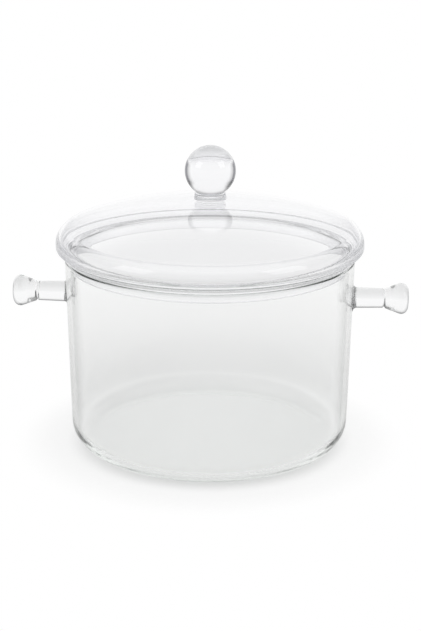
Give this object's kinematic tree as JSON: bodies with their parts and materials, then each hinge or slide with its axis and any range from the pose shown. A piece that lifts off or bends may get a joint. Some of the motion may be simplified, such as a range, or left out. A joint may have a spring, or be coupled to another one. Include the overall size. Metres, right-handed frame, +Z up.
{
  "type": "glass cooking pot",
  "caption": "Round clear glass cooking pot with straight rod handles that end in flared grips, and a thin domed glass lid with a curled edge, a locating skirt and a ball knob on a collar.",
  "frame": {"origin": "centre of the pot's flat base, on the surface it stands on", "axes": "+Z up along the pot's axis, +X along the handles, towards the right handle"},
  "size_m": [0.245, 0.1886, 0.1876],
  "materials": {
    "pot_glass": "clear, fire-polished, a faint green tint in the thick edges",
    "handle_glass": "clear solid rod, polished",
    "lid_glass": "clear, polished",
    "knob_glass": "clear solid ball, polished"
  },
  "bodies": {
    "pot": {"pot_vessel": "pot_glass", "left_handle": "handle_glass", "right_handle": "handle_glass"},
    "lid": {"lid_cover": "lid_glass", "knob_collar": "knob_glass", "knob_ball": "knob_glass"}
  },
  "joints": [
    {"name": "lid_lift", "type": "slide", "parent": "pot", "child": "lid", "axis": [0, 0, 1], "range_m": [0, 0.08]}
  ]
}
